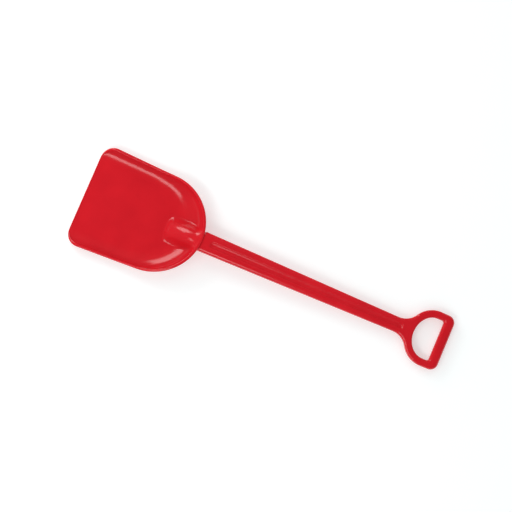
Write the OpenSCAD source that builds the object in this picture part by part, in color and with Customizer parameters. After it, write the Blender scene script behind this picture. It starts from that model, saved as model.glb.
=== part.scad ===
// Child's sand shovel with a D-grip, lying face up on a floor.
// The moulded blade carries a socket under its heel. The hollow handle is two half shells:
// the back one has the tang that plugs into the socket, the front one has the long recess.
// X runs from the blade's lip to the grip, Z is up, and the floor is Z = 0.

/* [Blade] */
// Length from the lip to the back of the rim, on the centre line
blade_len = 181; // [160:1:205]
// Width across the rims at the lip
blade_w = 151.5; // [130:0.5:175]
// Height of the rim above the floor at the heel
blade_depth = 30; // [27:0.5:36]
// Height of the rim above the floor along the sides
side_depth = 13; // [10:0.5:18]
// Distance from the lip to where the rim starts to rise towards the heel
rise_start = 80; // [60:1:100]
// How far each side closes in towards the heel, in degrees
side_taper = 2.5; // [0.5:0.1:4]
// Length of the elliptical heel
heel_len = 74; // [62:1:86]
// Plan radius of the lip's corners
corner_r = 20; // [14:0.5:26]
// Wall thickness of the blade
blade_wall = 2.6; // [2:0.1:3.5]

/* [Rim] */
// Width of the rim's flange
rim_w = 4.4; // [3.6:0.1:5.5]
// Height of the rim's outer edge
rim_edge = 2.2; // [1.5:0.1:3]
// Rise of the rim's rounded top
rim_crown = 1; // [0.5:0.1:1.5]
// Rise of the lip's rounded top
lip_crown = 0.4; // [0.2:0.1:0.8]

/* [Blade floor] */
// Distance from the lip to the flat floor
lip_inset = 7; // [6:0.5:10]
// Distance from a side's rim to the flat floor
side_inset = 26; // [20:0.5:32]
// Distance from the heel's rim to the flat floor
heel_inset = 50; // [44:0.5:56]
// Length of the flat floor's own elliptical heel
floor_heel_len = 44; // [36:1:52]
// Plan radius of the flat floor's front corners
floor_corner_r = 5; // [3:0.5:8]

/* [Shaft] */
// Length of the handle from the blade's socket to the end of the grip
handle_len = 369; // [320:1:430]
// Shaft width at the blade
shaft_w0 = 29; // [26:0.5:33]
// Shaft width at the throat of the grip
shaft_w1 = 21; // [18:0.5:24]
// Shaft thickness at the blade
shaft_t0 = 18; // [16:0.5:21]
// Handle thickness at the end of the grip
shaft_t1 = 13; // [11:0.5:15]
// Step from the top of the rim down to the top of the shaft
rim_step = 2; // [1:0.1:3]
// Wall thickness of the handle's shells
shell_wall = 2.2; // [1.8:0.1:2.6]
// Rounding of the shaft's and the arms' long edges
edge_r = 3.4; // [2.8:0.1:4.2]
// Width over which that rounding spreads on the shaft's faces at the blade
band_w0 = 8.5; // [6:0.5:9]
// Width over which it spreads at the throat
band_w1 = 5.6; // [4.5:0.1:6]

/* [Recess in the shaft] */
// Width of the recess at the blade
recess_w0 = 9.5; // [7:0.5:12]
// Width of the recess at the throat
recess_w1 = 7.5; // [6:0.5:10]
// Depth of the recess
recess_depth = 1.8; // [1.2:0.1:2.4]
// Distance from the blade to the start of the recess
recess_start = 11; // [6:0.5:20]
// Distance from the end of the recess to the end of the grip
recess_end = 65; // [60:0.5:75]

/* [Grip] */
// Width across the arms of the grip
grip_w = 81; // [76:1:92]
// Plan radius of the arms' outer bend
arm_bend_r = 34; // [29:0.5:38]
// Distance from the centre of the arms' outer bend to the end of the grip
arm_bend_x = 23.5; // [20:0.5:28]
// Plan radius of the fillet between the shaft and the arms
throat_r = 27; // [20:0.5:34]
// Plan radius of the grip's end corners
grip_corner_r = 11; // [8:0.5:14]
// Width of the bar that the hand holds
bar_w = 14.6; // [13:0.2:17]
// Rounding of the bar's long edges
bar_r = 5.4; // [4.5:0.1:5.5]
// Width across the opening
opening_w = 59.5; // [55:0.5:64]
// Length of the opening's elliptical side
opening_round = 24.5; // [21:0.5:28]
// Distance from the wide end of that ellipse to the end of the grip
opening_x = 24; // [22:0.5:27]
// Plan radius of the opening's two corners
opening_corner_r = 3.5; // [1.5:0.1:4.5]

/* [Socket and tang] */
// Length of the tang
tang_len = 52; // [46:1:56]
// Width of the tang at its tip
tang_tip_w = 19; // [15:0.5:22]
// Thickness of the tang at its tip
tang_tip_t = 2.6; // [2:0.2:4]
// Height of the tang's tip above the blade's floor
tang_tip_lift = 0.8; // [0.6:0.1:1.2]
// Rounded back of the tang, as a share of its thickness
tang_arch = 0.75; // [0.5:0.05:0.8]
// How much more the tang dips at its tip than at the socket's mouth
tang_curve = 0.5; // [0.3:0.05:0.6]
// Wall of the socket round the tang
socket_wall = 2.4; // [2:0.1:3]
// Extra depth of plastic under the socket
socket_sole = 3; // [2.4:0.1:4]
// Rounding of the socket's lower edges
socket_r = 5; // [3.5:0.1:6]
// Width of the catch under the tang
catch_w = 8; // [6:0.5:10]
// Length of the catch's ramp
catch_len = 6; // [4:0.5:8]
// Height of the catch
catch_h = 1.4; // [1:0.1:1.8]
// Distance from the socket's mouth to the back of the catch
catch_x = 17; // [15:0.5:19]

/* [Shell joint] */
// Height of the lap along the seam between the shells
lap_h = 1.4; // [1:0.1:2]
// Thickness of the stiffening ribs
rib_t = 1.6; // [1.2:0.1:2]
// How far the ribs are set into the walls
rib_bite = 0.3; // [0.2:0.1:0.4]
// Number of bays in the zigzag of ribs
rib_bays = 9; // [8:1:12]
// Thickness of the shaft's end walls
end_wall = 3; // [2.4:0.1:4]
// Clearance in the socket and in the lap
fit_gap = 0.15; // [0.1:0.05:0.25]

/* [Hidden] */

$fn = 32;
plastic = [0.80, 0.10, 0.13];

// Numbers of steps along curves
corner_n = 8;
side_n = 5;
heel_n = 22;
wall_n = 8;
crown_n = 6;
round_n = 3;
bend_n = 8;
socket_n = 6;
arch_n = 7;

// Half outlines stop short of the centre line by this angle
tip_angle = 2;

eps = 0.02;
over = 1;

// Where the handle leaves the blade, and how it slopes down so that the grip rests on the floor
mouth_z = blade_depth - rim_step - shaft_t0 / 2;
droop = asin((mouth_z - half_t(handle_len - bar_r)) / (handle_len - bar_r));
end_x = blade_len + handle_len * cos(droop) + (shaft_t1 / 2 - bar_r) * sin(droop);

// Shaft taper: each side closes in by this angle from the blade to the throat
throat_x = handle_len - arm_bend_x - arm_bend_r;
taper = atan((shaft_w0 - shaft_w1) / 2 / throat_x);

function smooth(t) = let (u = min(max(t, 0), 1)) u * u * (3 - 2 * u);
function mix(a, b, t) = a + (b - a) * t;
function unit(v) = v / norm(v);
function polar(c, r, a) = c + r * [cos(a), sin(a)];
function angle_of(v) = atan2(v.y, v.x);
function mirrored(half) =
  concat(half, [for (i = [len(half) - 1 : -1 : 0]) [half[i].x, -half[i].y, half[i].z]]);

// A solid through rings that are each mirrored about the centre plane.
// The first and last rings are closed by rungs from side to side.
module loft(halves) {
  rings = [for (half = halves) mirrored(half)];
  m = len(rings[0]);
  n = len(rings);
  sides = [for (k = [0 : n - 2], i = [0 : m - 1])
    let (j = (i + 1) % m, a = k * m + i, b = k * m + j, c = b + m, d = a + m)
      each [[a, b, c], [a, c, d]]];
  first = [for (i = [0 : m / 2 - 2]) let (j = m - 1 - i)
    each [[i, j, j - 1], [i, j - 1, i + 1]]];
  base = (n - 1) * m;
  last = [for (i = [0 : m / 2 - 2]) let (j = m - 1 - i)
    each [[base + i, base + i + 1, base + j - 1], [base + i, base + j - 1, base + j]]];
  polyhedron([for (ring = rings) each ring], concat(sides, first, last));
}

// Half of a blade outline in plan: round the lip's corner, along the side, round the elliptical heel.
// The tapered side is tangent to both.
function blade_half(x0, x1, half_w, heel, r) =
  let (
    slope = tan(side_taper),
    cx = x1 - heel,
    reach = half_w - slope * (cx - x0),
    b = sqrt(reach * reach - pow(heel * slope, 2)),
    cy = half_w - r * (1 + sin(side_taper)) / cos(side_taper),
    corner = [for (i = [0 : corner_n]) polar([x0 + r, cy], r, 180 - (90 + side_taper) * i / corner_n)],
    start = acos(heel * slope / reach),
    curve = [for (i = [0 : heel_n]) let (a = mix(start, tip_angle, i / heel_n))
      [cx + heel * cos(a), b * sin(a)]],
    side = [for (i = [1 : side_n]) mix(corner[corner_n], curve[0], i / (side_n + 1))]
  )
  concat(corner, side, curve);

// The blade's cross-section from the flat floor over the rim to the underside, as [distance out, height].
// The wall is a quarter of an ellipse inside and out, and the rim's flange stands out from it.
// d: width of the curved wall, h: height of the rim's inner edge, w: rim width, crown: rise of its top.
function wall_section(d, h, w, crown) =
  let (
    edge = min(rim_edge, h / 2),
    under = asin(edge / h),
    inner = [for (k = [0 : wall_n]) 90 - 90 * k / wall_n],
    outer = [for (k = [0 : wall_n]) mix(under, 90, k / wall_n)]
  )
  concat(
    [for (a = inner) [d * cos(a), h - (h - blade_wall) * sin(a)]],
    [for (k = [1 : crown_n]) let (a = 180 - 180 * k / crown_n)
      [d + w / 2 * (1 + cos(a)), h + crown * sin(a)]],
    [[d + w, h - edge]],
    [for (a = outer) [(d + blade_wall) * cos(a), h * (1 - sin(a))]]
  );

module pan() {
  rim = blade_half(0, blade_len, blade_w / 2, heel_len, corner_r);
  floor_edge =
    blade_half(lip_inset, blade_len - heel_inset, blade_w / 2 - side_inset, floor_heel_len, floor_corner_r);
  sections = [for (i = [0 : len(rim) - 1])
    let (
      turn = smooth(i / corner_n),
      along = smooth((rim[i].x - rise_start) / (blade_len - rise_start)),
      crown = mix(lip_crown, rim_crown, turn),
      top = mix(blade_wall + lip_crown, mix(side_depth, blade_depth, along), turn),
      w = mix(blade_wall, rim_w, turn),
      out = rim[i] - floor_edge[i]
    )
    [for (p = wall_section(norm(out) - w, top - crown, w, crown))
      let (q = floor_edge[i] + unit(out) * p.x) [q.x, q.y, p.y]]];
  loft([for (k = [len(sections[0]) - 1 : -1 : 0]) [for (s = sections) s[k]]]);
}

// Moves its children so that the middle of the shovel's length is at X = 0
module centred() {
  translate([-end_x / 2, 0, 0]) children();
}

// Places its children in the handle's frame: origin at the socket's mouth, X along the handle,
// and Z = 0 on the seam between the shells.
module on_handle() {
  translate([blade_len, 0, mouth_z]) rotate([0, droop, 0]) children();
}

// The tang's section at a share t of its length: [x, width, thickness, height of its middle].
// It dips along a parabola, and thins, to lie on the blade's floor.
function tang_section(t) =
  let (
    tip_z = blade_wall + tang_tip_lift + tang_tip_t / 2 - mouth_z - tang_len * sin(droop),
    dip = t * (1 - tang_curve * (1 - t))
  )
  [-tang_len * t,
   mix(shaft_w0 - 2 * socket_wall, tang_tip_w, t),
   mix(shaft_t0 - 2 * socket_wall, tang_tip_t, dip),
   tip_z * dip];

// Half of the tang's section at t as a ring: from its underside, round a lower corner, over its arched back.
// It is grown by g, deepened downwards by sole, and moved ahead towards the tip.
function tang_ring(t, g, sole, r, ahead = 0) =
  let (
    s = tang_section(t),
    half_w = s[1] / 2 + g,
    top = s[3] + s[2] / 2 + g,
    low = s[3] - s[2] / 2 - g - sole,
    arch = tang_arch * s[2] + g,
    fillet = min(r, half_w - eps, top - arch - low - eps)
  )
  concat(
    [for (i = [0 : round_n]) let (a = 90 * i / round_n)
      [s[0] - ahead, half_w - fillet * (1 - sin(a)), low + fillet * (1 - cos(a))]],
    [for (i = [0 : arch_n]) let (a = mix(0, 90 - tip_angle, i / arch_n))
      [s[0] - ahead, half_w * cos(a), top - arch * (1 - sin(a))]]
  );

// A solid along the tang, grown by g all round. It starts lead ahead of the socket's mouth and
// ends in a nose that is rounded by the given radius.
module along_tang(g, sole, r, lead, nose) {
  steps = [for (i = [0 : socket_n]) i / socket_n];
  loft(concat(
    [if (lead > 0) tang_ring(0, g, 0, r, -lead)],
    [for (t = steps) tang_ring(t, g, 4 * sole * t * (1 - t), r)],
    [if (nose > 0) for (i = [1 : round_n]) let (a = 90 * i / round_n)
      tang_ring(1, g - nose * (1 - cos(a)), 0, r, nose * sin(a))]
  ));
}

// The catch under the tang: a wedge that deepens towards the handle and stops square
module tang_catch() {
  s = tang_section(catch_x / tang_len);
  low = s[3] - s[2] / 2;
  translate([-catch_x, 0, low]) rotate([90, 0, 0])
    linear_extrude(catch_w, center = true)
      polygon([[0, catch_h], [0, -catch_h], [-catch_len, catch_h]]);
}

// The slot through the socket's sole that the catch snaps into
module catch_window() {
  s = tang_section(catch_x / tang_len);
  depth = s[2] / 2 + socket_wall + socket_sole + over;
  translate([-catch_x - catch_len, -catch_w / 2 - fit_gap, s[3] - depth])
    cube([catch_len + fit_gap, catch_w + 2 * fit_gap, depth]);
}

module blade() {
  color(plastic) centred()
    difference() {
      union() {
        pan();
        on_handle() along_tang(socket_wall, socket_sole, socket_r, 0, socket_wall);
      }
      on_handle() {
        along_tang(fit_gap, 0, socket_r - socket_wall, over, fit_gap);
        catch_window();
      }
    }
}

// Half of the handle's outline in plan as [point, outward normal]: along the shaft, round the throat's
// fillet, round the arm's outer bend and the end corner. Each arc is tangent to the next.
function handle_half(x_start) =
  let (
    line_n = [sin(taper), cos(taper)],
    line_u = [cos(taper), -sin(taper)],
    p0 = [0, shaft_w0 / 2],
    bend_c = [handle_len - arm_bend_x, grip_w / 2 - arm_bend_r],
    v = p0 + throat_r * line_n - bend_c,
    along = v * line_u,
    s = -along - sqrt(along * along - v * v + pow(arm_bend_r + throat_r, 2)),
    fillet_c = p0 + throat_r * line_n + s * line_u,
    a_line = angle_of(-line_n),
    a_bend = angle_of(bend_c - fillet_c),
    b_start = angle_of(fillet_c - bend_c),
    corner_c = [handle_len - grip_corner_r, grip_w / 2 - grip_corner_r]
  )
  concat(
    [[p0 + x_start * [1, -tan(taper)], [0, 1]]],
    [for (i = [0 : bend_n]) let (a = mix(a_line, a_bend, i / bend_n))
      [polar(fillet_c, throat_r, a), -[cos(a), sin(a)]]],
    [for (i = [1 : bend_n]) let (a = mix(b_start, 90, i / bend_n))
      [polar(bend_c, arm_bend_r, a), [cos(a), sin(a)]]],
    [for (i = [0 : corner_n]) let (a = 90 - 90 * i / corner_n)
      [polar(corner_c, grip_corner_r, a), [cos(a), sin(a)]]]
  );

// Half of the opening's outline as [point, outward normal]: round its elliptical side, then round the
// corner to the bar
function opening_half() =
  let (
    half_w = opening_w / 2,
    cx = handle_len - opening_x,
    corner_c = [handle_len - bar_w - opening_corner_r, half_w - opening_corner_r]
  )
  concat(
    [for (i = [0 : 2 * bend_n]) let (a = mix(180 - tip_angle, 90, i / (2 * bend_n)))
      [[cx + opening_round * cos(a), half_w * sin(a)], unit([cos(a) / opening_round, sin(a) / half_w])]],
    [for (i = [0 : round_n]) let (a = 90 - 90 * i / round_n)
      [polar(corner_c, opening_corner_r, a), [cos(a), sin(a)]]]
  );

// Half thickness of the handle, and the rounding of its edges, which grows from the arms to the bar.
// Along the shaft the rounding spreads over a wider band of the face, so that it is half an oval.
function half_t(x) = mix(shaft_t0, shaft_t1, x / handle_len) / 2;
function round_at(x) = mix(edge_r, bar_r, smooth((x - handle_len + bar_w + bar_r) / bar_r));
function band_at(x) =
  mix(mix(band_w0, band_w1, x / throat_x), round_at(x), smooth((x - throat_x) / throat_r + 1 / 2));

// Moves an outline in (in > 0) or out, and lifts it to a level
function lifted(half, in, level) = [for (p = half) let (q = p[0] - p[1] * in) [q.x, q.y, level]];

// An outline's ring on the rounded edge of a shell whose wall is thinned by t: a = 0 where the rounding
// starts on the side, 90 on the top. grow is 1 for the handle's outline and -1 for the opening's.
function edge_ring(half, t, a, grow) =
  [for (p = half)
    let (
      r = round_at(p[0].x),
      w = band_at(p[0].x),
      q = p[0] - grow * p[1] * (t + (w - t) * (1 - cos(a)))
    )
      [q.x, q.y, half_t(q.x) - r + (r - t) * sin(a)]];

// The front half of the handle, without its opening, thinned all round by t
module half_body(t, x_start) {
  half = handle_half(x_start);
  loft(concat(
    [lifted(half, t, t > 0 ? -over : 0)],
    [for (k = [0 : round_n]) edge_ring(half, t, 90 * k / round_n, 1)]
  ));
}

// The opening through the front half, grown into its wall by t
module half_opening(t) {
  half = opening_half();
  loft(concat(
    [lifted(half, -t, -over - lap_h)],
    [for (k = [0 : round_n]) edge_ring(half, t, 90 * k / round_n, -1)],
    [[for (p = edge_ring(half, t, 90, -1)) [p.x, p.y, p.z + over + t]]]
  ));
}

// A flat band of the wall beside the seam, from depth t0 to depth t1 inside the surface
module seam_band(t0, t1, z0, z1) {
  outline = handle_half(t0);
  inner = handle_half(end_wall);
  hole = opening_half();
  difference() {
    loft([lifted(outline, t0, z0), lifted(outline, t0, z1)]);
    loft([lifted(hole, -t0, z0 - over), lifted(hole, -t0, z1 + over)]);
    difference() {
      loft([lifted(inner, t1, z0 - over), lifted(inner, t1, z1 + over)]);
      loft([lifted(hole, -t1, z0 - 2 * over), lifted(hole, -t1, z1 + 2 * over)]);
    }
  }
}

// The hollow inside the front half
module half_hollow() {
  difference() {
    half_body(shell_wall, end_wall);
    half_opening(shell_wall);
  }
}

// Zigzag ribs from side to side of the shaft's hollow, set into the walls and clear of the seam
module ribs() {
  step = (throat_x - end_wall) / rib_bays;
  low = lap_h + fit_gap;
  for (i = [0 : rib_bays - 1]) {
    ends = [for (k = [0, 1]) let (x = end_wall + (i + k) * step)
      [x, (((i + k) % 2) * 2 - 1) * (shaft_w0 / 2 - x * tan(taper) - shell_wall + rib_bite)]];
    run = ends[1] - ends[0];
    top = half_t(ends[1].x) - shell_wall + rib_bite;
    translate([ends[0].x, ends[0].y, low]) rotate(angle_of(run))
      translate([0, -rib_t / 2, 0]) cube([norm(run), rib_t, top - low]);
  }
}

// The long rounded recess: a slightly tapered round trough with round ends
module recess() {
  hull()
    for (e = [[recess_start, recess_w0], [handle_len - recess_end - recess_w1, recess_w1]]) {
      x = e[0] + e[1] / 2;
      r = (e[1] * e[1] / 4 + recess_depth * recess_depth) / (2 * recess_depth);
      translate([x, 0, half_t(x) + r - recess_depth]) sphere(r = r);
    }
}

// The thicker plastic behind the recess
module recess_back() {
  x0 = recess_start;
  x1 = handle_len - recess_end;
  rotate([90, 0, 0]) linear_extrude(recess_w0, center = true)
    polygon([for (p = [[x0, 0], [x0, 1], [x1, 1], [x1, 0]])
      [p.x, half_t(p.x) - shell_wall - mix(recess_depth, -rib_bite, p.y)]]);
}

// A shell's skin, stiffened by its ribs
module half_shell() {
  difference() {
    half_body(0, 0);
    half_hollow();
    half_opening(0);
  }
  intersection() {
    ribs();
    half_body(shell_wall / 2, end_wall / 2);
  }
}

module handle_front() {
  color(plastic) centred() on_handle()
    difference() {
      union() {
        half_shell();
        recess_back();
      }
      recess();
      seam_band(shell_wall / 2, shell_wall + eps, -over, lap_h + fit_gap);
    }
}

module handle_back() {
  color(plastic) centred() on_handle() {
    mirror([0, 0, 1]) half_shell();
    seam_band(shell_wall / 2 + fit_gap, shell_wall, -eps, lap_h);
    difference() {
      along_tang(0, 0, socket_r - socket_wall, end_wall, 0);
      translate([0, -shaft_w0 / 2, 0]) cube([end_wall + over, shaft_w0, shaft_t0]);
    }
    tang_catch();
  }
}

blade();
handle_front();
handle_back();
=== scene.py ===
"""Sand shovel: the looks of a child's moulded shovel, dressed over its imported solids.

Lengths are in metres. X runs from the blade's lip to the grip, Z is up, and the floor is Z = 0. In the
handle's own frame, X starts at the socket's mouth and Z = 0 is the seam between the handle's two shells.
"""
import math

import bmesh
import bpy
import numpy as np
from bpy.props import FloatProperty, FloatVectorProperty, PointerProperty
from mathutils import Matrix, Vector
from mathutils.geometry import tessellate_polygon


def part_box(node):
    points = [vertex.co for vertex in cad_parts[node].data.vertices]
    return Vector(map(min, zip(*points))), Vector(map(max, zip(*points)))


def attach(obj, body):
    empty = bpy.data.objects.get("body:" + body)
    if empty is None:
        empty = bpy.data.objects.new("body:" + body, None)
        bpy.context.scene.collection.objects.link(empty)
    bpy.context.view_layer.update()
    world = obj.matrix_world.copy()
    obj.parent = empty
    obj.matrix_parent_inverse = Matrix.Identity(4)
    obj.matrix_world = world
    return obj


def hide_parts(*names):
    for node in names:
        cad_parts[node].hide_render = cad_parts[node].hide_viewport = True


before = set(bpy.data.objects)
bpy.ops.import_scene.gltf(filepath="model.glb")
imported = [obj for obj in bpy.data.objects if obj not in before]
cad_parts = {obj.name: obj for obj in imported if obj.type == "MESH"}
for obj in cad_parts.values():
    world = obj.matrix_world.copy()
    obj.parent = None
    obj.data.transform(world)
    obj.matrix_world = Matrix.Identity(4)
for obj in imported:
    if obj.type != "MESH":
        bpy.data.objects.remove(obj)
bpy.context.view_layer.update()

bl_info = {
    "name": "Sand shovel",
    "version": (1, 0, 0),
    "blender": (4, 5, 0),
    "location": "3D View > Sidebar > Shovel",
    "description": "Makes a child's moulded sand shovel and the stage that it lies on",
    "category": "Add Mesh",
}

MM = 0.001
QUARTER = 0.5 * math.pi
LIP_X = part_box("blade")[0].x

# Numbers of steps along each stretch of a surface
LIP_STEPS = 12
CORNER_STEPS = 20
SIDE_STEPS = 44
HEEL_STEPS = 96
FLOOR_STEPS = 40
WALL_STEPS = 60
CROWN_STEPS = 12
RIM_EDGE_STEPS = 5
ROUND_STEPS = 10
EDGE_STEPS = 16
BEND_STEPS = 28
SOCKET_STEPS = 24
RECESS_STEPS = 24
SHAFT_STEPS = 16

# Where a rounded edge of the socket turns into a straight flank
STEEP = math.radians(68.0)
# Most of a flank's height that the rounding below it may take, on the tang and the collar
FLANK_SHARE = 0.9
# Most of the wall's height that the rim's outer edge may take, and most of that edge that its rounding may
RIM_EDGE_SHARE = 0.5
RIM_ROUND_SHARE = 0.4
# Last share of the wall's steps, next to the rim, over which the hump's fillet fades out
FILLET_FADE = 0.2
# How far outside the recess its first ring lies, as a share of its half width
RECESS_MARGIN = 0.02
# Points closer than this are one point
WELD = 1e-6
# Edges that turn by more than this are shaded sharp
SHARP_ANGLE = math.radians(38.0)

# Refractive index of polypropylene
PLASTIC_IOR = 1.49
PAPER_ROUGHNESS = 0.9
# Half of the paper's side, and how far it lies below the shovel
PAPER_HALF = 4.0
PAPER_DROP = 0.1 * MM
# Brightness of the studio overhead, as a share of that near the floor
OVERHEAD_SHARE = 0.2

# Points that the lights face: the blade's heel, and a point on the shaft
HEEL = (LIP_X + 140.0 * MM, 0.0, 0.0)
SHAFT = (100.0 * MM, 0.0, 0.0)
# Where each light stands from its point, in degrees and metres, and the size of its face
KEY_BOX = {"azimuth": 144.0, "elevation": 29.6, "distance": 1.5, "width": 0.8, "height": 0.6}
SIDE_BOX = {"azimuth": -110.0, "elevation": 57.0, "distance": 1.5, "width": 1.07, "height": 0.35}
FILL_FACE = {"distance": 3.0, "width": 1.8, "height": 1.6}
FAR_FILL = {"azimuth": 105.0, "elevation": 56.0, **FILL_FACE}
NEAR_FILL = {"azimuth": -80.0, "elevation": 38.0, **FILL_FACE}
LIP_FILL = {"azimuth": 180.0, "elevation": 30.0, **FILL_FACE}

# The camera: its picture and focal length in pixels, its sensor in millimetres, the point that it looks at,
# and where it stands from that point, in degrees and metres
IMAGE_SIDE = 512
FOCAL_PIXELS = 1500.0
SENSOR_WIDTH = 36.0
CAMERA_TARGET = Vector((-17.5, 11.4, 10.0)) * MM
CAMERA_AZIMUTH = -66.97
CAMERA_ELEVATION = 85.0
CAMERA_DISTANCE = 2101.6 * MM


def number(label, description, value, **kind):
    """A number that a user can change."""
    return FloatProperty(name=label, description=description, default=value, **kind)


def size(label, description, mm):
    """A length that a user can change, written in millimetres and kept in metres."""
    return number(label, description, mm * MM, unit="LENGTH", precision=4)


def linear(hex_colour):
    """The linear red, green and blue of an sRGB hex colour."""
    srgb = np.array([int(hex_colour[i : i + 2], 16) for i in (0, 2, 4)]) / 255.0
    return tuple(np.where(srgb <= 0.04045, srgb / 12.92, ((srgb + 0.055) / 1.055) ** 2.4))


def colour(label, description, hex_colour):
    """A colour that a user can change, written as an sRGB hex value."""
    return FloatVectorProperty(
        name=label,
        description=description,
        default=linear(hex_colour),
        size=3,
        min=0.0,
        max=1.0,
        subtype="COLOR",
    )


class BladeSizes(bpy.types.PropertyGroup):
    """Sizes of the dished blade."""

    length: size("Length", "From the lip to the back of the rim", 181.0)
    width: size("Width", "Across the rims at the lip", 151.5)
    heel_height: size("Heel height", "Height of the rim at the heel", 30.0)
    side_height: size("Side height", "Height of the rim along the sides", 13.0)
    rise_start: size("Rise start", "From the lip to where the rim starts to rise", 80.0)
    side_taper: number("Side taper", "How far each side closes in", math.radians(2.5), subtype="ANGLE")
    heel_length: size("Heel length", "Length of the elliptical heel", 74.0)
    corner_radius: size("Corner radius", "Plan radius of the lip's corners", 20.0)
    wall: size("Wall", "Thickness of the blade", 2.6)
    rim_width: size("Rim width", "Width of the rim's flange", 4.4)
    rim_edge: size("Rim edge", "Height of the rim's outer edge", 2.2)
    rim_crown: size("Rim crown", "Rise of the rim's rounded top", 1.0)
    lip_crown: size("Lip crown", "Rise of the lip's rounded top", 0.4)
    edge_radius: size("Edge radius", "Rounding of the rim's lower edge", 0.6)
    lip_inset: size("Lip inset", "From the lip to the flat floor", 7.0)
    side_inset: size("Side inset", "From a side's rim to the flat floor", 26.0)
    heel_inset: size("Heel inset", "From the heel's rim to the flat floor", 50.0)
    floor_heel_length: size("Floor heel length", "Length of the flat floor's own elliptical heel", 44.0)
    floor_corner_radius: size("Floor corner radius", "Plan radius of the flat floor's front corners", 5.0)


class HandleSizes(bpy.types.PropertyGroup):
    """Sizes of the shaft and the D-shaped grip."""

    length: size("Length", "From the blade's socket to the end of the grip", 369.0)
    root_width: size("Root width", "Shaft width at the blade", 29.0)
    throat_width: size("Throat width", "Shaft width at the grip", 21.0)
    root_thickness: size("Root thickness", "Shaft thickness at the blade", 18.0)
    end_thickness: size("End thickness", "Thickness at the end of the grip", 13.0)
    rim_step: size("Rim step", "From the top of the rim down to the top of the shaft", 2.0)
    edge_radius: size("Edge radius", "Rounding of the shaft's and the arms' long edges", 3.4)
    root_band: size("Root band", "Width of that rounding on the shaft's faces at the blade", 8.5)
    throat_band: size("Throat band", "Width of that rounding on the shaft's faces at the throat", 5.6)
    seam: size("Seam", "Depth of the fine groove between the two shells", 0.2)
    recess_root_width: size("Recess root width", "Width of the recess at the blade", 9.5)
    recess_end_width: size("Recess end width", "Width of the recess at the throat", 7.5)
    recess_depth: size("Recess depth", "Depth of the recess", 1.8)
    recess_lip: size("Recess lip", "Softness of the recess's edge", 0.5)
    recess_start: size("Recess start", "From the blade to the start of the recess", 11.0)
    recess_end: size("Recess end", "From the end of the recess to the end of the grip", 65.0)
    grip_width: size("Grip width", "Across the arms of the grip", 81.0)
    bend_radius: size("Bend radius", "Plan radius of the arms' outer bend", 34.0)
    bend_back: size("Bend back", "From the centre of that bend to the end of the grip", 23.5)
    throat_radius: size("Throat radius", "Plan radius of the fillet between shaft and arms", 27.0)
    corner_radius: size("Corner radius", "Plan radius of the grip's end corners", 11.0)
    bar_width: size("Bar width", "Width of the bar that the hand holds", 14.6)
    bar_radius: size("Bar radius", "Rounding of the bar's long edges", 5.4)
    opening_width: size("Opening width", "Width across the opening", 59.5)
    opening_round: size("Opening round", "Length of the opening's elliptical side", 24.5)
    opening_back: size("Opening back", "From the wide end of that ellipse to the end of the grip", 24.0)
    opening_corner: size("Opening corner", "Plan radius of the opening's two corners", 3.5)


class SocketSizes(bpy.types.PropertyGroup):
    """Sizes of the joint between the blade and the handle."""

    length: size("Tang length", "Length of the tang in the socket", 52.0)
    tip_width: size("Tip width", "Width of the tang at its tip", 19.0)
    tip_thickness: size("Tip thickness", "Thickness of the tang at its tip", 2.6)
    tip_lift: size("Tip lift", "Height of the tang's tip above the blade's floor", 0.8)
    wall: size("Wall", "Wall of the socket round the tang", 2.4)
    sole: size("Sole", "Extra depth of plastic under the socket", 3.0)
    radius: size("Radius", "Rounding of the socket's lower edges and of the hump's nose", 5.0)
    arch: number("Arch", "Rounded back of the tang, as a share of its thickness", 0.75, subtype="FACTOR")
    curve: number("Curve", "How much more the tang dips at its tip than at the mouth", 0.5)
    crest: number("Crest", "The same for the hump's back, which is rounder", 1.0)
    fillet: size("Fillet", "Size of the fillet between the socket and the pan", 8.0)
    heel_fillet: size("Heel fillet", "Length of the fillet between the hump's back and the rim", 10.0)
    catch_width: size("Catch width", "Width of the catch under the tang", 8.0)
    catch_length: size("Catch length", "Length of the catch's ramp", 6.0)
    catch_height: size("Catch height", "Height of the catch", 1.4)
    catch_back: size("Catch back", "From the socket's mouth to the back of the catch", 17.0)
    gap: size("Gap", "Clearance in the socket", 0.15)
    root: size("Root", "Depth of the tang's root inside the handle", 0.15)


class PlasticFinish(bpy.types.PropertyGroup):
    """Colour and gloss of the plastic."""

    red: colour("Red", "Main colour of the plastic", "E2202B")
    deep_red: colour("Deep red", "Colour of the faint darker streaks", "CA1B26")
    gloss_roughness: number("Gloss", "Roughness where the mould was polished", 0.13, subtype="FACTOR")
    dull_roughness: number("Dull", "Roughness where the surface is slightly dull", 0.19, subtype="FACTOR")
    streak: size("Streak", "Width of the streaks in the pigment", 38.0)
    peel: size("Peel", "Width of the faint ripples in the gloss", 5.0)
    peel_strength: number("Peel strength", "How much those ripples show", 0.05, subtype="FACTOR")


class StageLook(bpy.types.PropertyGroup):
    """The paper floor and the lights."""

    floor_colour: colour("Floor", "Colour of the paper floor", "DADBDB")
    cloud_colour: colour("Cloud colour", "Colour of the paper's faint clouds", "DDDEDE")
    cloud: size("Cloud", "Width of those clouds", 300.0)
    key_watts: number("Key", "Power of the softbox ahead of the lip", 6.6, unit="POWER")
    side_watts: number("Side", "Power of the softbox at one side", 5.1, unit="POWER")
    far_watts: number("Far fill", "Power of the fill at the other side", 9.36, unit="POWER")
    near_watts: number("Near fill", "Power of the fill under the side softbox", 10.8, unit="POWER")
    lip_watts: number("Lip fill", "Power of the fill straight ahead of the lip", 6.48, unit="POWER")
    surround: number("Surround", "Brightness of the studio near the floor", 1.25)
    glow: number("Glow", "Light that shines up through the paper", 0.425)
    glow_colour: colour("Glow colour", "Colour of that light", "F6FFFF")


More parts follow.
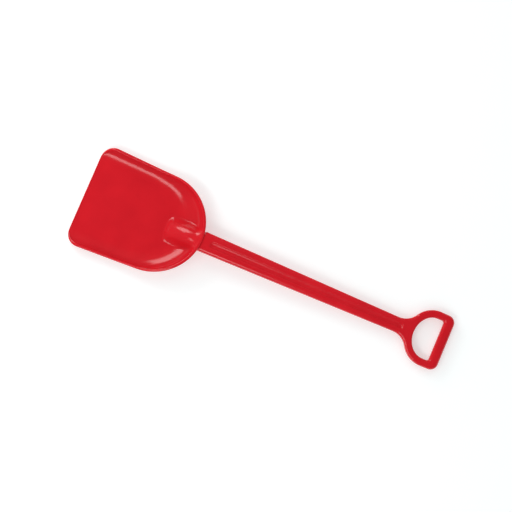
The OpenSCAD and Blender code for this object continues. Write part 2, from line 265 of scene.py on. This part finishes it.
def smooth(t):
    """Smooth step: 3t^2 - 2t^3, with t held between 0 and 1."""
    t = np.clip(t, 0.0, 1.0)
    return t * t * (3.0 - 2.0 * t)


def mix(a, b, t):
    """The value at share t of the way from a to b."""
    return a + (b - a) * t


def hill(t):
    """A parabola that is 0 where t is 0 or 1, and 1 halfway."""
    return 4.0 * t * (1.0 - t)


def smooth_max(a, b, reach):
    """The larger of a and b, with a round fillet where they differ by less than reach."""
    near = np.clip(reach - np.abs(a - b), 0.0, None) / reach
    return np.maximum(a, b) + 0.25 * near * near * reach


def points(*coordinates):
    """Stacks coordinate arrays into one array of points."""
    return np.stack(np.broadcast_arrays(*coordinates), axis=-1)


def arc(start, end, steps):
    """Points of a circle of radius 1 in plan, from one angle to another."""
    turn = np.linspace(start, end, steps + 1)
    return points(np.cos(turn), np.sin(turn))


def mirrored(half, skip_first=False, skip_last=False):
    """A closed loop from its half with y >= 0: the half, then its mirror image backwards.

    Points on the centre line are skipped the second time.
    """
    start = 1 if skip_last else 0
    stop = len(half) - 1 if skip_first else len(half)
    other = half[::-1][start:stop].copy()
    other[..., 1] *= -1.0
    return np.concatenate([half, other])


def grid_quads(index):
    """Quads between neighbouring rings, from a grid of point numbers whose rows are closed rings."""
    after = np.roll(index, -1, axis=1)
    quads = np.stack([index[:-1], after[:-1], after[1:], index[1:]], axis=-1)
    return quads.reshape(-1, 4).tolist()


def grid_index(rings, first=0):
    """The numbers of a grid's points, row by row, counted on from first."""
    rows, columns = rings.shape[:2]
    return first + np.arange(rows * columns).reshape(rows, columns)


def close_up(mesh):
    """Merges a mesh's doubles and turns its faces outwards."""
    solid = bmesh.new()
    solid.from_mesh(mesh)
    bmesh.ops.remove_doubles(solid, verts=solid.verts, dist=WELD)
    bmesh.ops.recalc_face_normals(solid, faces=solid.faces)
    if solid.calc_volume(signed=True) < 0.0:
        bmesh.ops.reverse_faces(solid, faces=solid.faces)
    solid.to_mesh(mesh)
    solid.free()


def make_solid(name, vertices, faces):
    """A closed mesh object."""
    mesh = bpy.data.meshes.new(name)
    mesh.from_pydata(vertices.reshape(-1, 3).tolist(), [], faces)
    close_up(mesh)
    piece = bpy.data.objects.new(name, mesh)
    bpy.context.scene.collection.objects.link(piece)
    return piece


def make_loft(name, rings):
    """A solid through closed rings, capped at both ends."""
    index = grid_index(rings)
    caps = [index[0].tolist(), index[-1].tolist()]
    return make_solid(name, rings, grid_quads(index) + caps)


def combine(piece, tool, operation):
    """Joins a second solid to a piece or cuts it out, and removes the second solid."""
    step = piece.modifiers.new(operation, "BOOLEAN")
    step.operation = operation
    step.solver = "MANIFOLD"
    step.object = tool
    result = piece.evaluated_get(bpy.context.evaluated_depsgraph_get())
    mesh = bpy.data.meshes.new_from_object(result)
    close_up(mesh)
    piece.modifiers.clear()
    before = piece.data
    piece.data = mesh
    bpy.data.meshes.remove(before)
    bpy.data.meshes.remove(tool.data)
    mesh.name = piece.name


def dress(piece, node, material):
    """Shades a piece, gives it its plastic, and puts it in place of a solid."""
    piece.data.shade_smooth()
    piece.data.set_sharp_from_angle(angle=SHARP_ANGLE)
    piece.data.materials.clear()
    piece.data.materials.append(material)
    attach(piece, "root")
    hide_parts(node)


def half_thickness(handle, x):
    """Half of the handle's thickness, which falls evenly from the root to the end."""
    return 0.5 * mix(handle.root_thickness, handle.end_thickness, x / handle.length)


def mouth_height(blade, handle):
    """Height of the shaft's middle where it leaves the blade."""
    return blade.heel_height - handle.rim_step - 0.5 * handle.root_thickness


def droop(blade, handle):
    """Slope of the handle, which brings the bar of the grip down to the floor."""
    run = handle.length - handle.bar_radius
    return math.asin((mouth_height(blade, handle) - half_thickness(handle, run)) / run)


def from_handle(blade, handle, local):
    """Points of the handle's frame in the shovel's: turned by the droop and moved to the socket's mouth."""
    angle = droop(blade, handle)
    x = local[..., 0] * math.cos(angle) + local[..., 2] * math.sin(angle)
    z = local[..., 2] * math.cos(angle) - local[..., 0] * math.sin(angle)
    return points(LIP_X + blade.length + x, local[..., 1], mouth_height(blade, handle) + z)


def blade_half(taper, front, back, half_width, heel, radius):
    """Half of a blade outline in plan, from the middle of the lip to the middle of the heel.

    A straight lip, a corner arc, a side that closes in by the taper, and a quarter of an ellipse that
    the side is tangent to.
    """
    slope = math.tan(taper)
    heel_x = back - heel
    reach = half_width - slope * (heel_x - front)
    heel_y = math.sqrt(reach**2 - (heel * slope) ** 2)
    corner_y = half_width - radius * (1.0 + math.sin(taper)) / math.cos(taper)
    lip = points(front, np.linspace(0.0, corner_y, LIP_STEPS + 1))
    corner = np.array([front + radius, corner_y]) + radius * arc(math.pi, QUARTER - taper, CORNER_STEPS)
    turn = arc(math.acos(heel * slope / reach), 0.0, HEEL_STEPS)
    curve = np.array([heel_x, 0.0]) + np.array([heel, heel_y]) * turn
    side = mix(corner[-1], curve[0], np.linspace(0.0, 1.0, SIDE_STEPS + 1)[:, None])
    return np.vstack([lip[:-1], corner, side[1:-1], curve])


def tang_section(blade, handle, socket, share, curve):
    """Width, thickness and middle height of the tang at a share of its length, in the handle's frame.

    It dips along a parabola, and thins, to lie on the blade's floor. curve is how bent the parabola is.
    """
    seat = blade.wall + socket.tip_lift + 0.5 * socket.tip_thickness
    tip = seat - mouth_height(blade, handle) - socket.length * math.sin(droop(blade, handle))
    dip = share * (1.0 - curve * (1.0 - share))
    width = mix(handle.root_width - 2.0 * socket.wall, socket.tip_width, share)
    thickness = mix(handle.root_thickness - 2.0 * socket.wall, socket.tip_thickness, dip)
    return width, thickness, tip * dip


def tang_rings(blade, handle, socket, grow, radius, lead=0.0, nose=0.0, stop=1.0, sole=0.0):
    """Sections along the tang in the handle's frame, grown all round.

    Each has an elliptical back, and a flat underside whose edges are rounded by the radius. They start a
    lead behind the mouth. At the share stop of the tang's length, they shrink round a quarter circle, whose
    radius is the nose. The sole deepens them below by a parabola that is zero at both ends of the tang.
    """
    share = np.linspace(0.0, stop, SOCKET_STEPS + 1)
    ahead = np.zeros(len(share))
    shrink = np.zeros(len(share))
    if lead > 0.0:
        share = np.append(0.0, share)
        ahead = np.append(-lead, ahead)
        shrink = np.append(0.0, shrink)
    if nose > 0.0:
        turn = np.linspace(0.0, QUARTER, ROUND_STEPS + 1)[1:]
        share = np.append(share, np.full(len(turn), stop))
        ahead = np.append(ahead, nose * np.sin(turn))
        shrink = np.append(shrink, nose * (1.0 - np.cos(turn)))
    width, thickness, middle = tang_section(blade, handle, socket, share, socket.curve)
    half_width = (0.5 * width + grow - shrink)[:, None]
    top = (middle + 0.5 * thickness + grow - shrink)[:, None]
    low = (middle - 0.5 * thickness - grow + shrink - sole * hill(share))[:, None]
    arch = (socket.arch * thickness + grow - shrink)[:, None]
    edge = np.minimum(radius, FLANK_SHARE * (top - arch - low))
    x = (-socket.length * share - ahead)[:, None]
    turn = np.linspace(0.0, QUARTER, ROUND_STEPS + 1)
    under = points(x, half_width - edge * (1.0 - np.sin(turn)), low + edge * (1.0 - np.cos(turn)))
    turn = np.linspace(0.0, QUARTER, SOCKET_STEPS + 1)
    over = points(x, half_width * np.cos(turn), top - arch * (1.0 - np.sin(turn)))
    half = np.concatenate([under, over], axis=1)
    return np.swapaxes(mirrored(np.swapaxes(half, 0, 1), skip_last=True), 0, 1)


def round_fall(distance, radius):
    """How far a rounded edge has fallen at a distance: along a circle, then straight down a steep flank."""
    on_arc = np.minimum(distance, radius * math.sin(STEEP))
    return radius - np.sqrt(radius**2 - on_arc**2) + (distance - on_arc) * math.tan(STEEP)


def socket_body(blade, handle, socket, x, y):
    """Heights of the socket's top and underside over the plan point x, y, as if it had no end downwards.

    The top is an elliptical arch across the tang and falls away round the nose. The underside is flat
    across a core and turns up by round_fall of the distance outside that core.
    """
    share = np.clip((blade.length - x) / socket.length, 0.0, 1.0)
    level = mouth_height(blade, handle) + socket.length * share * math.sin(droop(blade, handle))
    ahead = np.clip(blade.length - socket.length - socket.wall + socket.radius - x, 0.0, None)
    width, thickness, middle = tang_section(blade, handle, socket, share, socket.crest)
    half_width = 0.5 * width + socket.wall
    arch = (socket.arch * thickness + socket.wall) / half_width
    top = level + middle + 0.5 * thickness + socket.wall
    top = top - arch * round_fall(np.abs(y), half_width) - round_fall(ahead, socket.radius)
    _, thickness, middle = tang_section(blade, handle, socket, share, socket.curve)
    beside = np.clip(np.abs(y) - half_width + socket.radius, 0.0, None)
    under = level + middle - 0.5 * thickness - socket.wall - socket.sole * hill(share)
    return top, under + round_fall(np.hypot(ahead, beside), socket.radius)


def rim_profile(blade, rim):
    """The rim's width, the wall's height under its crown, and the crown's rise, as columns along the rim.

    A smooth step round the corner takes them from the lip's sizes to the sides', and another one raises
    the rim from the sides to the heel.
    """
    rest = len(rim) - LIP_STEPS - CORNER_STEPS - 1
    corner = smooth(np.linspace(0.0, 1.0, CORNER_STEPS + 1))
    turn = np.concatenate([np.zeros(LIP_STEPS), corner, np.ones(rest)])[:, None]
    rise = smooth((rim[:, :1] - blade.rise_start) / (blade.length - blade.rise_start))
    width = mix(blade.wall, blade.rim_width, turn)
    crown = mix(blade.lip_crown, blade.rim_crown, turn)
    top = mix(blade.wall + blade.lip_crown, mix(blade.side_height, blade.heel_height, rise), turn)
    return width, top - crown, crown


def wall_section(blade, run, width, height, crown):
    """Distances from the flat floor's edge, and heights: up the wall, over the rim and back underneath.

    The wall is a quarter of an ellipse inside and out. The rim's top is half of an ellipse, and its lower
    edge a quarter circle. run is the distance from the floor's edge to the rim.
    """
    turn = np.linspace(QUARTER, 0.0, WALL_STEPS + 1)
    inside = (run * np.cos(turn), height - (height - blade.wall) * np.sin(turn))
    turn = np.linspace(math.pi, 0.0, CROWN_STEPS + 1)[1:]
    top = (run + 0.5 * width * (1.0 + np.cos(turn)), height + crown * np.sin(turn))
    edge = np.minimum(blade.rim_edge, RIM_EDGE_SHARE * height)
    radius = np.minimum(blade.edge_radius, RIM_ROUND_SHARE * edge)
    turn = np.linspace(0.0, QUARTER, RIM_EDGE_STEPS + 1)
    lower = (run + width - radius * (1.0 - np.cos(turn)), height - edge + radius * (1.0 - np.sin(turn)))
    turn = mix(np.arcsin(edge / height), QUARTER, np.linspace(0.0, 1.0, WALL_STEPS + 1))
    outside = ((run + blade.wall) * np.cos(turn), height * (1.0 - np.sin(turn)))
    return [np.concatenate(stretches, axis=1) for stretches in zip(inside, top, lower, outside)]


def add_socket(blade, handle, socket, xy, z, height, to_rim):
    """Raises the socket's hump in the hollow side, and lets its boss down from the underside.

    A smooth maximum joins both to the pan, and its fillet fades out next to the rim. There the hump's back
    is drawn up to the wall's height instead, by the square of how near the rim is. to_rim is the distance
    to the rim along the wall's stretch.
    """
    inside = FLOOR_STEPS + WALL_STEPS + 1
    below = inside + CROWN_STEPS + RIM_EDGE_STEPS + 1
    hump, boss = socket_body(blade, handle, socket, xy[..., 0], xy[..., 1])
    draw = np.clip(1.0 - to_rim / socket.heel_fillet, 0.0, 1.0) ** 2
    hump = mix(hump[:, :inside], height, np.pad(draw, ((0, 0), (FLOOR_STEPS, 0))))
    fade = smooth(np.linspace(1.0 / FILLET_FADE, 0.0, WALL_STEPS + 1))
    fillet = socket.fillet * np.concatenate([np.ones(FLOOR_STEPS), fade]) + WELD
    z[:, :inside] = smooth_max(z[:, :inside], hump, fillet)
    z[:, below:] = -smooth_max(-z[:, below:], -boss[:, below:], socket.fillet)


def pan_surface(blade, handle, socket):
    """The blade's whole skin as loops round its outline, from mid-floor over the rim and back underneath.

    A ray runs from each point of the flat floor's outline to the like point of the rim's, and the wall's
    section is carried along these rays.
    """
    taper, half_width = blade.side_taper, 0.5 * blade.width
    rim = blade_half(taper, 0.0, blade.length, half_width, blade.heel_length, blade.corner_radius)
    floor_end = blade.length - blade.heel_inset
    floor_half = half_width - blade.side_inset
    floor_sizes = (floor_half, blade.floor_heel_length, blade.floor_corner_radius)
    floor = blade_half(taper, blade.lip_inset, floor_end, *floor_sizes)
    ray = rim - floor
    reach = np.linalg.norm(ray, axis=1, keepdims=True)
    width, height, crown = rim_profile(blade, rim)
    run = reach - width
    distance, wall_z = wall_section(blade, run, width, height, crown)
    wall_xy = floor[:, None] + (ray / reach)[:, None] * distance[..., None]
    middle_start = blade.lip_inset + blade.corner_radius
    middle = points(np.clip(floor[:, 0], middle_start, floor_end - blade.floor_heel_length), 0.0)
    share = np.linspace(0.0, 1.0, FLOOR_STEPS + 1)[:-1, None]
    floor_xy = mix(middle[:, None], floor[:, None], share)
    flat = np.zeros((len(rim), FLOOR_STEPS))
    xy = np.concatenate([floor_xy, wall_xy, floor_xy[:, ::-1]], axis=1)
    z = np.concatenate([flat + blade.wall, wall_z, flat], axis=1)
    add_socket(blade, handle, socket, xy, z, height, run - distance[:, : WALL_STEPS + 1])
    skin = points(LIP_X + xy[..., 0], xy[..., 1], np.maximum(z, 0.0))
    return np.swapaxes(mirrored(skin, skip_first=True, skip_last=True), 0, 1)


def prism(name, blade, handle, outline, width):
    """A flat outline in the handle's X and Z, given a width across Y."""
    side = np.array(outline)
    rings = np.stack([points(side[:, 0], y, side[:, 1]) for y in (-0.5 * width, 0.5 * width)])
    return make_loft(name, from_handle(blade, handle, rings))


def catch_level(blade, handle, socket):
    """Height of the tang's underside at the back of the catch, in the handle's frame."""
    share = socket.catch_back / socket.length
    _, thickness, middle = tang_section(blade, handle, socket, share, socket.curve)
    return middle - 0.5 * thickness


def make_blade(blade, handle, socket):
    """The blade: its dished pan, the collar at the socket's mouth, the bore and the catch's window."""
    loops = pan_surface(blade, handle, socket)
    moulding = make_solid("blade_moulding", loops, grid_quads(grid_index(loops)))
    stop = (blade.rim_width + blade.wall) / socket.length
    collar = tang_rings(blade, handle, socket, socket.wall, socket.radius, stop=stop, sole=socket.sole)
    combine(moulding, make_loft("collar", from_handle(blade, handle, collar)), "UNION")
    radius = socket.radius - socket.wall
    bore = tang_rings(blade, handle, socket, socket.gap, radius, lead=socket.wall, nose=socket.gap)
    combine(moulding, make_loft("bore", from_handle(blade, handle, bore)), "DIFFERENCE")
    level = catch_level(blade, handle, socket)
    high, low = level + socket.wall, level - 2.0 * (socket.wall + socket.sole)
    back, front = socket.gap - socket.catch_back, -socket.catch_back - socket.catch_length
    outline = [(back, high), (back, low), (front, low), (front, high)]
    window = prism("window", blade, handle, outline, socket.catch_width + 2.0 * socket.gap)
    combine(moulding, window, "DIFFERENCE")
    return moulding


def throat_start(handle):
    """Where the tapered shaft ends and the grip begins."""
    return handle.length - handle.bend_back - handle.bend_radius


def handle_half(handle):
    """Half of the handle's outline in plan with its outward normals, from the root to the end of the grip.

    A tapered straight shaft, the throat's fillet, the arm's outer bend and the end corner, each arc
    tangent to the next.
    """
    taper = math.atan(0.5 * (handle.root_width - handle.throat_width) / throat_start(handle))
    shaft_n = np.array([math.sin(taper), math.cos(taper)])
    forward = np.array([math.cos(taper), -math.sin(taper)])
    root = np.array([0.0, 0.5 * handle.root_width])
    bend = np.array([handle.length - handle.bend_back, 0.5 * handle.grip_width - handle.bend_radius])
    corner = np.array([handle.length, 0.5 * handle.grip_width]) - handle.corner_radius
    # The fillet's centre lies on a line beside the shaft, both radii away from the bend's centre
    beside = root + handle.throat_radius * shaft_n
    apart = beside - bend
    along = apart @ forward
    run = -along - math.sqrt(along**2 - apart @ apart + (handle.bend_radius + handle.throat_radius) ** 2)
    fillet = beside + run * forward
    meet = math.atan2(*(bend - fillet)[::-1])
    fillet_n = -arc(math.atan2(*-shaft_n[::-1]), meet, BEND_STEPS)
    bend_n = arc(meet + math.pi, QUARTER, BEND_STEPS)[1:]
    corner_n = arc(QUARTER, 0.0, CORNER_STEPS)
    share = np.linspace(0.0, 1.0, SHAFT_STEPS + 1)[:-1, None]
    outline = [
        mix(root, fillet - handle.throat_radius * shaft_n, share),
        fillet - handle.throat_radius * fillet_n,
        bend + handle.bend_radius * bend_n,
        corner + handle.corner_radius * corner_n,
    ]
    normals = np.vstack([np.tile(shaft_n, (SHAFT_STEPS, 1)), fillet_n, bend_n, corner_n])
    # At the root the normal is square to the shaft's middle line, so that the root's face is flat
    normals[0] = (0.0, 1.0)
    return np.vstack(outline), normals


def opening_half(handle):
    """Half of the opening's outline in plan with its outward normals.

    Half of its elliptical side comes first, and then the corner at the bar.
    """
    half_width = 0.5 * handle.opening_width
    axes = np.array([handle.opening_round, half_width])
    turn = arc(math.pi, QUARTER, 2 * BEND_STEPS)
    side = np.array([handle.length - handle.opening_back, 0.0]) + axes * turn
    side_n = turn / axes
    side_n = side_n / np.linalg.norm(side_n, axis=1, keepdims=True)
    corner = np.array([handle.length - handle.bar_width, half_width]) - handle.opening_corner
    corner_n = arc(QUARTER, 0.0, CORNER_STEPS)
    return np.vstack([side, corner + handle.opening_corner * corner_n]), np.vstack([side_n, corner_n])


def edge_rings(handle, outline, normals, inward):
    """Rings from the seam up a shell's side and over its rounded edge on to its flat face.

    The edge is a quarter circle whose radius grows from the arms to the bar. Along the shaft it spreads
    over a wider band, as a quarter of an ellipse. inward is 1 for the handle's outline and -1 for the
    opening's.
    """
    x = outline[:, 0]
    throat_x = throat_start(handle)
    bar_x = handle.length - handle.bar_width
    to_bar = smooth((x - bar_x + handle.bar_radius) / handle.bar_radius)
    radius = mix(handle.edge_radius, handle.bar_radius, to_bar)
    band = mix(handle.root_band, handle.throat_band, x / throat_x)
    band = mix(band, radius, smooth((x - throat_x) / handle.throat_radius + 0.5))
    turn = np.linspace(0.0, QUARTER, EDGE_STEPS + 1)[:, None]
    zero = np.zeros((1, len(x)))
    groove = zero + handle.seam
    inset = np.concatenate([groove, zero, band * (1.0 - np.cos(turn)), band + groove])
    plan = outline - inward * normals * inset[..., None]
    z = half_thickness(handle, plan[..., 0])
    z[0] = 0.0
    z[1] = handle.seam
    z[2:] -= np.concatenate([radius * (1.0 - np.sin(turn)), zero])
    return np.concatenate([plan, z[..., None]], axis=-1)


def recess_rings(handle):
    """Rings of the long recess: stadium outlines that shrink on to its middle line.

    Its depth is a parabola across its width, and a smooth maximum with zero rounds its edge.
    """
    edge = math.sqrt(1.0 + handle.recess_lip / handle.recess_depth) + RECESS_MARGIN
    share = np.linspace(edge, 0.0, RECESS_STEPS + 1)[:, None]
    turn = np.linspace(QUARTER, 3.0 * QUARTER, BEND_STEPS + 1)
    root_r, end_r = 0.5 * handle.recess_root_width, 0.5 * handle.recess_end_width
    root_x, end_x = handle.recess_start + root_r, handle.length - handle.recess_end - end_r
    out, across = share * np.cos(turn), share * np.sin(turn)
    x = np.concatenate([root_x + root_r * out, end_x - end_r * out], axis=1)
    y = np.concatenate([root_r * across, -end_r * across], axis=1)
    depth = smooth_max(handle.recess_depth * (1.0 - share**2), 0.0, handle.recess_lip)
    return points(x, y, half_thickness(handle, x) - depth)


def make_shell(name, blade, handle, recessed, side):
    """Half of the handle: rounded walls outside and round the opening, a flat face, and the seam's face.

    The two faces are polygons with holes, cut into triangles. side is 1 for the half above the seam and -1
    for the half below it.
    """
    outline, normals = (mirrored(a) for a in handle_half(handle))
    grids = [edge_rings(handle, outline, normals, 1.0)]
    outline, normals = (mirrored(a, skip_first=True) for a in opening_half(handle))
    grids.append(edge_rings(handle, outline, normals, -1.0))
    if recessed:
        grids.append(recess_rings(handle))
    local = np.vstack([rings.reshape(-1, 3) for rings in grids])
    faces, numbers, first = [], [], 0
    for rings in grids:
        numbers.append(grid_index(rings, first))
        faces += grid_quads(numbers[-1])
        first += numbers[-1].size
    walls, holes = numbers[:2], numbers[2:]
    top = [index[-1] for index in walls] + [index[0] for index in holes]
    seam = [index[0] for index in walls]
    for loops in (top, seam):
        triangles = tessellate_polygon([local[loop, :2].tolist() for loop in loops])
        faces += np.concatenate(loops)[np.array(triangles)].tolist()
    local[:, 2] *= side
    return make_solid(name, from_handle(blade, handle, local), faces)


def make_handle_back(blade, handle, socket):
    """The lower shell with the tang that plugs into the socket, and the catch under the tang."""
    shell = make_shell("handle_back_shell", blade, handle, False, -1.0)
    radius = socket.radius - socket.wall
    tang = tang_rings(blade, handle, socket, 0.0, radius, lead=socket.root, nose=socket.gap)
    combine(shell, make_loft("tang", from_handle(blade, handle, tang)), "UNION")
    level = catch_level(blade, handle, socket)
    high, low = level + socket.catch_height, level - socket.catch_height
    back, front = -socket.catch_back, -socket.catch_back - socket.catch_length
    wedge = [(back, high), (back, low), (front, high)]
    combine(shell, prism("catch", blade, handle, wedge, socket.catch_width), "UNION")
    return shell


def add_node(tree, kind, inputs):
    """Adds a shader node. An input takes a value, or another node's output to link."""
    node = tree.nodes.new(kind)
    for key, value in inputs.items():
        if isinstance(value, bpy.types.NodeSocket):
            tree.links.new(value, node.inputs[key])
        else:
            node.inputs[key].default_value = value
    return node


def moulded_polypropylene(finish):
    """Injection-moulded polypropylene from a polished mould.

    To the eye it is one strong red with a wet gloss. The pigment has flowed in faint streaks, and the gloss
    ripples a little where the wall shrank as it cooled.
    """
    name = "glossy_red_moulded_polypropylene"
    if name in bpy.data.materials:
        return bpy.data.materials[name]
    material = bpy.data.materials.new(name)
    material.use_nodes = True
    tree = material.node_tree
    tree.nodes.clear()
    place = add_node(tree, "ShaderNodeTexCoord", {}).outputs["Object"]
    flow = add_node(
        tree,
        "ShaderNodeTexNoise",
        {"Vector": place, "Scale": 1.0 / finish.streak, "Detail": 3.0},
    )
    tint = add_node(
        tree,
        "ShaderNodeMixRGB",
        {"Fac": flow.outputs["Fac"], "Color1": (*finish.deep_red, 1.0), "Color2": (*finish.red, 1.0)},
    )
    dull = add_node(
        tree,
        "ShaderNodeMapRange",
        {"Value": flow.outputs["Fac"], "To Min": finish.gloss_roughness, "To Max": finish.dull_roughness},
    )
    peel = add_node(
        tree,
        "ShaderNodeTexNoise",
        {"Vector": place, "Scale": 1.0 / finish.peel, "Detail": 1.0},
    )
    ripple = add_node(
        tree,
        "ShaderNodeBump",
        {"Height": peel.outputs["Fac"], "Strength": finish.peel_strength, "Distance": MM},
    )
    surface = add_node(
        tree,
        "ShaderNodeBsdfPrincipled",
        {
            "Base Color": tint.outputs["Color"],
            "Roughness": dull.outputs["Result"],
            "IOR": PLASTIC_IOR,
            "Normal": ripple.outputs["Normal"],
        },
    )
    add_node(tree, "ShaderNodeOutputMaterial", {"Surface": surface.outputs["BSDF"]})
    return material


def paper_floor(look):
    """Matt white background paper, with the faint cloudiness of its fibres.

    Some light shines up through it.
    """
    material = bpy.data.materials.new("matt_white_paper")
    material.use_nodes = True
    tree = material.node_tree
    tree.nodes.clear()
    place = add_node(tree, "ShaderNodeTexCoord", {}).outputs["Object"]
    cloud = add_node(tree, "ShaderNodeTexNoise", {"Vector": place, "Scale": 1.0 / look.cloud})
    shade = add_node(
        tree,
        "ShaderNodeMixRGB",
        {
            "Fac": cloud.outputs["Fac"],
            "Color1": (*look.floor_colour, 1.0),
            "Color2": (*look.cloud_colour, 1.0),
        },
    )
    surface = add_node(
        tree,
        "ShaderNodeBsdfPrincipled",
        {
            "Base Color": shade.outputs["Color"],
            "Roughness": PAPER_ROUGHNESS,
            "Emission Color": (*look.glow_colour, 1.0),
            "Emission Strength": look.glow,
        },
    )
    add_node(tree, "ShaderNodeOutputMaterial", {"Surface": surface.outputs["BSDF"]})
    return material


def make_surround(look):
    """The studio's light from all round, brighter near the floor than overhead.

    The gloss doesn't mirror it.
    """
    world = bpy.data.worlds.new("studio")
    world.use_nodes = True
    tree = world.node_tree
    tree.nodes.clear()
    sky = add_node(tree, "ShaderNodeTexCoord", {}).outputs["Generated"]
    height = add_node(tree, "ShaderNodeSeparateXYZ", {"Vector": sky}).outputs["Z"]
    glow = add_node(
        tree,
        "ShaderNodeMapRange",
        {"Value": height, "To Min": look.surround, "To Max": OVERHEAD_SHARE * look.surround},
    )
    light = add_node(tree, "ShaderNodeBackground", {"Strength": glow.outputs["Result"]})
    add_node(tree, "ShaderNodeOutputWorld", {"Surface": light.outputs["Background"]})
    bpy.context.scene.world = world
    world.cycles_visibility.glossy = False


def direction(azimuth, elevation):
    """The unit vector at an azimuth from +X and an elevation above the floor, in degrees."""
    a, e = math.radians(azimuth), math.radians(elevation)
    return Vector((math.cos(e) * math.cos(a), math.cos(e) * math.sin(a), math.sin(e)))


def add_softbox(name, target, watts, azimuth, elevation, distance, width, height):
    """A rectangular softbox that faces a target from a distance."""
    light = bpy.data.lights.new(name, "AREA")
    light.shape = "RECTANGLE"
    light.size = width
    light.size_y = height
    light.energy = watts
    lamp = bpy.data.objects.new(name, light)
    away = direction(azimuth, elevation)
    lamp.location = Vector(target) + distance * away
    lamp.rotation_euler = away.to_track_quat("Z", "Y").to_euler()
    bpy.context.scene.collection.objects.link(lamp)
    return lamp


def add_lights(look):
    """Two softboxes that show in the gloss, and three large fills that don't."""
    add_softbox("key_softbox", HEEL, look.key_watts, **KEY_BOX)
    add_softbox("side_softbox", HEEL, look.side_watts, **SIDE_BOX)
    fills = (
        add_softbox("far_fill", SHAFT, look.far_watts, **FAR_FILL),
        add_softbox("near_fill", SHAFT, look.near_watts, **NEAR_FILL),
        add_softbox("lip_fill", SHAFT, look.lip_watts, **LIP_FILL),
    )
    for fill in fills:
        fill.visible_glossy = False


def add_camera():
    """A camera almost straight above the shovel, with a long lens."""
    camera = bpy.data.cameras.new("photo_camera")
    camera.sensor_width = SENSOR_WIDTH
    camera.lens = SENSOR_WIDTH * FOCAL_PIXELS / IMAGE_SIDE
    away = direction(CAMERA_AZIMUTH, CAMERA_ELEVATION)
    eye = bpy.data.objects.new("photo_camera", camera)
    eye.location = CAMERA_TARGET + CAMERA_DISTANCE * away
    eye.rotation_euler = away.to_track_quat("Z", "Y").to_euler()
    bpy.context.scene.collection.objects.link(eye)
    bpy.context.scene.camera = eye


def make_floor(look):
    """A wide sheet of paper a hair below the shovel, so that the two faces don't coincide."""
    plan = PAPER_HALF * np.array([(-1.0, -1.0), (1.0, -1.0), (1.0, 1.0), (-1.0, 1.0)])
    corners = points(plan[:, 0], plan[:, 1], -PAPER_DROP)
    mesh = bpy.data.meshes.new("paper")
    mesh.from_pydata(corners.tolist(), [], [(0, 1, 2, 3)])
    mesh.materials.append(paper_floor(look))
    floor = bpy.data.objects.new("paper", mesh)
    bpy.context.scene.collection.objects.link(floor)


class SHOVEL_OT_stage(bpy.types.Operator):
    """Makes the paper floor, the lights and the camera."""

    bl_idname = "shovel.make_stage"
    bl_label = "Stage"

    def execute(self, context):
        look = context.scene.shovel_stage
        make_floor(look)
        make_surround(look)
        add_lights(look)
        add_camera()
        context.scene.view_settings.view_transform = "Standard"
        return {"FINISHED"}


class SHOVEL_OT_blade(bpy.types.Operator):
    """Makes the blade with its socket."""

    bl_idname = "shovel.make_blade"
    bl_label = "Blade"

    def execute(self, context):
        scene = context.scene
        blade = make_blade(scene.shovel_blade, scene.shovel_handle, scene.shovel_socket)
        dress(blade, "blade", moulded_polypropylene(scene.shovel_finish))
        return {"FINISHED"}


class SHOVEL_OT_handle(bpy.types.Operator):
    """Makes the handle's two shells."""

    bl_idname = "shovel.make_handle"
    bl_label = "Handle"

    def execute(self, context):
        scene = context.scene
        plastic = moulded_polypropylene(scene.shovel_finish)
        front = make_shell("handle_front_shell", scene.shovel_blade, scene.shovel_handle, True, 1.0)
        dress(front, "handle_front", plastic)
        back = make_handle_back(scene.shovel_blade, scene.shovel_handle, scene.shovel_socket)
        dress(back, "handle_back", plastic)
        return {"FINISHED"}


class SHOVEL_PT_panel(bpy.types.Panel):
    """Lists the shovel's pieces, sizes and finish in the sidebar."""

    bl_label = "Sand shovel"
    bl_idname = "SHOVEL_PT_panel"
    bl_space_type = "VIEW_3D"
    bl_region_type = "UI"
    bl_category = "Shovel"

    def draw(self, context):
        for operator in OPERATORS:
            self.layout.operator(operator.bl_idname)
        for name in GROUPS:
            box = self.layout.box()
            group = getattr(context.scene, name)
            for field in group.bl_rna.properties:
                if field.identifier not in ("rna_type", "name"):
                    box.prop(group, field.identifier)


OPERATORS = (SHOVEL_OT_stage, SHOVEL_OT_blade, SHOVEL_OT_handle)
GROUPS = {
    "shovel_blade": BladeSizes,
    "shovel_handle": HandleSizes,
    "shovel_socket": SocketSizes,
    "shovel_finish": PlasticFinish,
    "shovel_stage": StageLook,
}


def register():
    """Registers the groups, the operators and the panel."""
    for name, group in GROUPS.items():
        bpy.utils.register_class(group)
        setattr(bpy.types.Scene, name, PointerProperty(type=group))
    for item in (*OPERATORS, SHOVEL_PT_panel):
        bpy.utils.register_class(item)


def unregister():
    """Takes away what register added."""
    for item in (SHOVEL_PT_panel, *reversed(OPERATORS)):
        bpy.utils.unregister_class(item)
    for name, group in GROUPS.items():
        delattr(bpy.types.Scene, name)
        bpy.utils.unregister_class(group)


def main():
    """Makes the stage and the shovel."""
    register()
    bpy.ops.shovel.make_stage()
    bpy.ops.shovel.make_blade()
    bpy.ops.shovel.make_handle()


if __name__ == "__main__":
    main()
